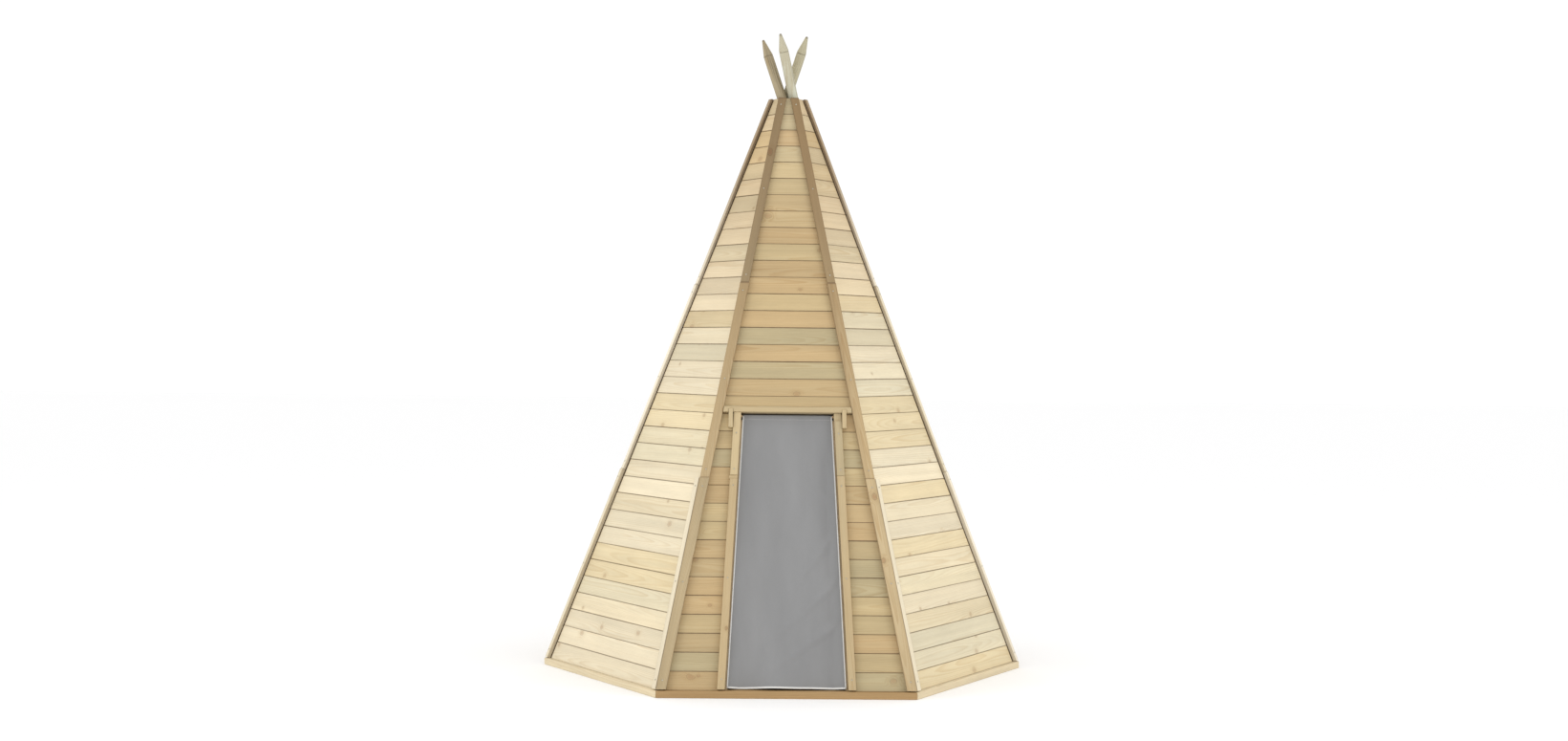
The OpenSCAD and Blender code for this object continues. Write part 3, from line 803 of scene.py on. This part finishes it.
wrap_radius = rod_back - CLOTH_MIDDLE
BEHIND = -CLOTH_MIDDLE - CLOTH_THICK - 0.0002

# The sheet's run, from the bottom hem up to the rod, over it, and down behind to the seam
run_points = []
for step in range(ROWS_UP + 1):
    run_points.append((rod_up * step / ROWS_UP, -CLOTH_MIDDLE))
for step in range(1, ROWS_OVER + 1):
    angle = math.pi * step / ROWS_OVER
    run_points.append((rod_up + wrap_radius * math.sin(angle),
                       -rod_back + wrap_radius * math.cos(angle)))
for step in range(1, ROWS_BACK + 1):
    share = step / ROWS_BACK
    smooth = share * share * (3 - 2 * share)
    run_points.append((rod_up - (HEM_TURN - 0.004) * share,
                       (-rod_back - wrap_radius) * (1 - smooth) + BEHIND * smooth))
run_points.append((rod_up - HEM_TURN, BEHIND))
run_length = [0.0]
for (up_a, out_a), (up_b, out_b) in zip(run_points, run_points[1:]):
    run_length.append(run_length[-1] + math.hypot(up_b - up_a, out_b - out_a))


def flap_half(up):
    return foot_half + (head_half - foot_half) * max(0.0, min(1.0, up / rod_up))


def fold(across, up):
    """How far the hanging cloth stands out of its plane, in metres."""
    share = across / flap_half(up)
    free = max(0.0, min(1.0, (rod_up - up - 0.01) / 0.30))
    free = free * free * (3 - 2 * free)
    away = 0.010 * math.cos(math.pi * (share * 0.9 - 0.12)) - 0.002
    away += 0.0120 * noise.noise(Vector((across * 7.0 + 2.0, up * 1.1, 4.0)))
    away += 0.0060 * noise.noise(Vector((across * 4.0, up * 3.0 + 9.0, 1.0)))
    away += 0.0010 * noise.noise(Vector((across * 26.0, up * 13.0, 6.0)))
    for start_up, lean, depth, width in CREASES:
        line = (up - start_up) + lean * (flap_half(up) * 0.55 - across)
        near = math.exp(-(line / width) ** 2)
        away += depth * near * max(0.0, min(1.0, 0.5 + share))
    edge = max(0.0, min(1.0, (abs(share) - 0.80) / 0.15))
    away = away * (1 - edge) + (abs(away) * 0.3 + 0.0002) * edge
    return away * free


def flap_point(across, index):
    up, out = run_points[index]
    stand = fold(across, up) if index <= ROWS_UP else 0.0
    return foot_middle + flap_across * across + flap_up * up + flap_out * (out + stand)


def cloth_paint(name, thread, gap_colour, weave, bump, sheen):
    """Plain woven cloth: over and under threads on the sheet's own flat map, in metres."""
    paint, tree, surface = new_paint(name)
    flat_map = tree.nodes.new("ShaderNodeUVMap")
    flat_map.uv_map = "flat"
    place = flat_map.outputs[0]
    warp_across, weft_up, _ = split(tree, place)
    turn = math.tau / weave
    warp = calc(tree, "SINE", calc(tree, "MULTIPLY", warp_across, turn))
    weft = calc(tree, "SINE", calc(tree, "MULTIPLY", weft_up, turn))
    over = calc(tree, "MULTIPLY_ADD", calc(tree, "MULTIPLY", warp, weft), 0.5, 0.5)
    slub = cloudy(tree, place, (90.0, 900.0, 1.0), 2.0)
    slub_up = cloudy(tree, place, (900.0, 90.0, 1.0), 2.0)
    # Broad lighter and darker patches over the sheet are painted light and shade for its folds.
    fold_light_and_shade = cloudy(tree, place, (5.5, 1.5, 1.0), 3.0)
    colour = mix_colour(tree, calc(tree, "MULTIPLY", over, 0.30), thread, gap_colour)
    tone = calc(tree, "MULTIPLY_ADD", slub_up, 0.10, 0.90)
    tone = calc(tree, "MULTIPLY_ADD", slub, 0.10, tone)
    tone = calc(tree, "MULTIPLY", tone, calc(tree, "MULTIPLY_ADD", fold_light_and_shade, 0.34, 0.80))
    colour = mix_colour(tree, 1.0, colour, grey_of(tree, tone), "MULTIPLY")
    tree.links.new(colour, surface.inputs["Base Color"])
    tree.links.new(calc(tree, "MULTIPLY_ADD", over, 0.12, 0.78), surface.inputs["Roughness"])
    surface.inputs["Specular IOR Level"].default_value = 0.25
    surface.inputs["Sheen Weight"].default_value = sheen
    surface.inputs["Sheen Roughness"].default_value = 0.45
    crumple = cloudy(tree, place, (9.0, 5.0, 1.0), 3.0)
    add_relief(tree, surface, calc(tree, "MULTIPLY_ADD", crumple, 6.0, over), bump, 0.6)
    return paint


def cloth_strip(name, columns, rows, thick, paint):
    """A sheet of cloth through a grid of places, given as functions of the row, in flat metres."""
    work = bmesh.new()
    flat = work.loops.layers.uv.new("flat")
    bmesh.ops.create_grid(work, x_segments=len(columns) - 1, y_segments=len(rows) - 1, size=1.0)
    work.verts.ensure_lookup_table()
    by_place = sorted(work.verts, key=lambda vertex: (round(vertex.co.y, 5), round(vertex.co.x, 5)))
    place = {}
    for number, vertex in enumerate(by_place):
        row, column = rows[number // len(columns)], columns[number % len(columns)]
        across = column(flap_half(run_points[row][0]))
        vertex.co = flap_point(across, row)
        place[vertex] = (across, run_length[row])
    for face in work.faces:
        for loop in face.loops:
            loop[flat].uv = place[loop.vert]
    work.normal_update()
    work.faces.ensure_lookup_table()
    if work.faces[0].normal.dot(flap_out) < 0:
        bmesh.ops.reverse_faces(work, faces=work.faces)
    sheet = new_object(name, work, paint)
    for polygon in sheet.data.polygons:
        polygon.use_smooth = True
    body = sheet.modifiers.new("thickness", "SOLIDIFY")
    body.thickness = thick
    body.offset = 0.0
    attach(sheet, "flap")
    return sheet


flap_paint = cloth_paint("flap_grey", (0.262, 0.262, 0.262, 1), (0.187, 0.187, 0.191, 1),
                         0.0011, 0.0004, 0.25)
tape_paint = cloth_paint("tape_pale", (0.72, 0.72, 0.70, 1), (0.55, 0.55, 0.54, 1),
                         0.0008, 0.0003, 0.2)

full_width = [lambda half, share=2 * step / FLAP_COLUMNS - 1: half * share
              for step in range(FLAP_COLUMNS + 1)]
flap = cloth_strip("flap_sheet", full_width, list(range(len(run_points))), CLOTH_THICK, flap_paint)
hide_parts("door_flap")

tape_rows = list(range(0, ROWS_UP + 1))
for side, side_name in ((-1, "left"), (1, "right")):
    edge_columns = [lambda half, inset=inset, side=side: side * (half + 0.0004 - inset)
                    for inset in (TAPE_WIDE, TAPE_WIDE * 0.66, TAPE_WIDE * 0.33, 0.0)]
    if side < 0:
        edge_columns.reverse()
    cloth_strip(f"flap_tape_{side_name}", edge_columns, tape_rows, TAPE_THICK,
                             tape_paint)
cloth_strip("flap_tape_foot", full_width, [0, 1], HEM_THICK, tape_paint)

# Stitches: white thread along the tapes and under the sleeve, each one a short lozenge
thread_paint, thread_tree, thread_surface = new_paint("thread_white")
thread_spot = thread_tree.nodes.new("ShaderNodeTexCoord")
twist = cloudy(thread_tree, thread_spot.outputs["Object"], (2500.0, 2500.0, 900.0), 1.0)
thread_colour = mix_colour(thread_tree, twist, (0.60, 0.60, 0.58, 1), (0.86, 0.86, 0.84, 1))
thread_tree.links.new(thread_colour, thread_surface.inputs["Base Color"])
thread_surface.inputs["Roughness"].default_value = 0.6
stitch_work = bmesh.new()
STITCH, STITCH_GAP, THREAD_RADIUS = 0.0036, 0.0012, 0.00042
# How far the seams are from the sheet's edges, and how far from its sides the level ones start
SIDE_SEAM, FOOT_SEAM = 0.0046, 0.0048
FOOT_START, SLEEVE_START = 0.006, 0.008


def add_stitch(place, direction):
    turn = direction.to_track_quat("Z", "Y").to_matrix().to_4x4()
    made = bmesh.ops.create_icosphere(stitch_work, subdivisions=1, radius=1.0)["verts"]
    shape = Matrix.Diagonal((THREAD_RADIUS, THREAD_RADIUS, STITCH / 2, 1.0))
    bmesh.ops.transform(stitch_work, matrix=Matrix.Translation(place) @ turn @ shape, verts=made)


def stitch_line(point_at, length, thick):
    count = int(length / (STITCH + STITCH_GAP))
    for step in range(count):
        here, there = point_at((step + 0.4) / count), point_at((step + 0.6) / count)
        add_stitch((here + there) / 2 + flap_out * (thick / 2 + 0.0001), there - here)


def side_seam(side):
    def point_at(share):
        index = max(1, min(ROWS_UP - 1, round(share * ROWS_UP)))
        low, high = (flap_point(side * (flap_half(run_points[row][0]) - SIDE_SEAM), row)
                     for row in (index - 1, index + 1))
        return low.lerp(high, (share * ROWS_UP - (index - 1)) / 2)
    return point_at


for side in (-1, 1):
    stitch_line(side_seam(side), rod_up, TAPE_THICK)
for half, row, above, thick in ((foot_half - FOOT_START, 0, FOOT_SEAM, HEM_THICK),
                                (head_half - SLEEVE_START, ROWS_UP - 2, 0.0, CLOTH_THICK)):
    stitch_line(lambda share: flap_point((2 * share - 1) * half, row) + flap_up * above,
                2 * half, thick)
stitches = new_object("flap_stitches", stitch_work, thread_paint)
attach(stitches, "flap")

# ----------------------------------------------
# Screws: round-headed yellow zinc-plated screws with a cross slot, through the trims at the ends
# and middle of each length, and through the door jambs. Zinc-plated bolts join the inner frames.
# ----------------------------------------------
zinc_paint, zinc_tree, zinc_surface = new_paint("zinc")
zinc_spot = zinc_tree.nodes.new("ShaderNodeTexCoord").outputs["Object"]
spangle = cloudy(zinc_tree, zinc_spot, (700.0, 700.0, 700.0), 2.0)
tarnish = cloudy(zinc_tree, zinc_spot, (160.0, 160.0, 160.0), 3.0)
zinc_colour = mix_colour(zinc_tree, tarnish, (0.56, 0.52, 0.42, 1), (0.36, 0.33, 0.26, 1))
zinc_tree.links.new(zinc_colour, zinc_surface.inputs["Base Color"])
zinc_rough = calc(zinc_tree, "MULTIPLY_ADD", spangle, 0.30, 0.22)
zinc_tree.links.new(zinc_rough, zinc_surface.inputs["Roughness"])
zinc_surface.inputs["Metallic"].default_value = 1.0
add_relief(zinc_tree, zinc_surface, spangle, 0.0001, 1.0)

# A head's dome: how far in each ring goes, and how far up, as shares of its radius and height
HEAD_RINGS = ((0.00003, 0.30), (0.18, 0.38), (0.24, 0.24), (0.22, 0.10))
HEAD_SEGMENTS, SLOT_PINCH, SLOT_DEPTH = 16, 0.62, 0.45


def screw_heads(name, node):
    """A domed head with a cross slot in the place of each plain head of the node."""
    plain_work, islands = solid_pieces(node)
    places = []
    for island in islands:
        faces = {face for vertex in island for face in vertex.link_faces}
        seat, crown = sorted(faces, key=lambda face: -face.calc_area())[:2]
        centre = seat.calc_center_median()
        places.append((centre, crown.calc_center_median() - centre,
                       max((vertex.co - centre).length for vertex in seat.verts)))
    plain_work.free()
    work = bmesh.new()
    chance = random.Random(node)
    for seat, rise, radius in places:
        before = set(work.verts)
        bmesh.ops.create_circle(work, cap_ends=True, radius=radius, segments=HEAD_SEGMENTS)
        head = [vertex for vertex in work.verts if vertex not in before]
        cap = next(face for face in work.faces if all(vertex in head for vertex in face.verts))
        for inset, lift in HEAD_RINGS:
            bmesh.ops.inset_individual(work, faces=[cap], thickness=radius * inset, depth=0.0)
            bmesh.ops.translate(work, verts=list(cap.verts), vec=(0, 0, rise.length * lift))
        bmesh.ops.inset_individual(work, faces=[cap], thickness=radius * 0.06, depth=0.0)
        for vertex in cap.verts:
            flat_place = Vector((vertex.co.x, vertex.co.y, 0.0))
            share = abs(math.cos(2 * math.atan2(flat_place.y, flat_place.x)))
            vertex.co -= flat_place * (SLOT_PINCH * (1.0 - share ** 3))
        bmesh.ops.inset_individual(work, faces=[cap], thickness=radius * 0.02, depth=0.0)
        bmesh.ops.translate(work, verts=list(cap.verts), vec=(0, 0, -rise.length * SLOT_DEPTH))
        turn = rise.to_track_quat("Z", "Y").to_matrix().to_4x4()
        turn = turn @ Matrix.Rotation(chance.uniform(0, 1.57), 4, "Z")
        whole = [vertex for vertex in work.verts if vertex not in before]
        bmesh.ops.transform(work, matrix=Matrix.Translation(seat) @ turn, verts=whole)
    finish_piece(name, work, node, zinc_paint)


for place_name in ("trim", "door"):
    screw_heads(f"{place_name}_screw_heads", f"{place_name}_screws")
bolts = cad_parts["panel_bolts"]
if bolts.material_slots:
    bolts.material_slots[0].material = zinc_paint
else:
    bolts.data.materials.append(zinc_paint)
